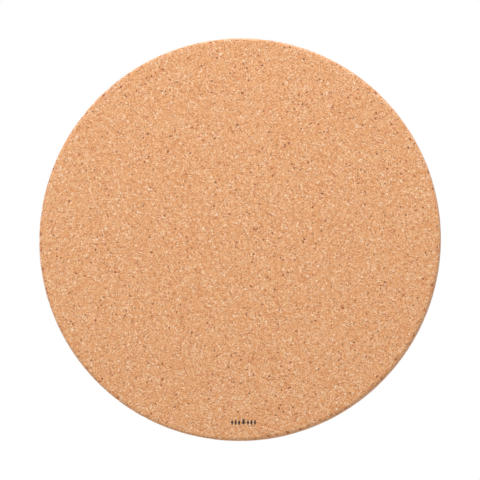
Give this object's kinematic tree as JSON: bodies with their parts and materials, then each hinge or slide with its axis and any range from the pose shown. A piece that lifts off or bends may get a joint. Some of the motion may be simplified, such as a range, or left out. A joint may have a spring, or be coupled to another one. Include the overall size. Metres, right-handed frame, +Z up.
{
  "type": "round cork bulletin board",
  "caption": "Frameless round cork board for pinning notes, with a hardboard back, a keyhole hanger plate and rubber wall bumpers.",
  "frame": {"origin": "on the wall plane, where the bumpers rest, behind the centre of the board", "axes": "+Z is up when the board hangs, +Y points into the wall, and the display face looks along -Y"},
  "size_m": [0.3, 0.018, 0.3],
  "materials": {
    "cork": "matte, fine granular cork",
    "print": "matte printed ink",
    "hardboard": "smooth brown hardboard",
    "zinc_steel": "bright zinc plating",
    "rubber": "matte black rubber"
  },
  "bodies": {
    "root": {"cork_slab": "cork", "printed_mark": "print", "backing_panel": "hardboard", "hanger_plate": "zinc_steel", "hanger_screws": "zinc_steel", "bumper_upper_left": "rubber", "bumper_upper_right": "rubber", "bumper_lower_left": "rubber", "bumper_lower_right": "rubber"}
  },
  "joints": []
}
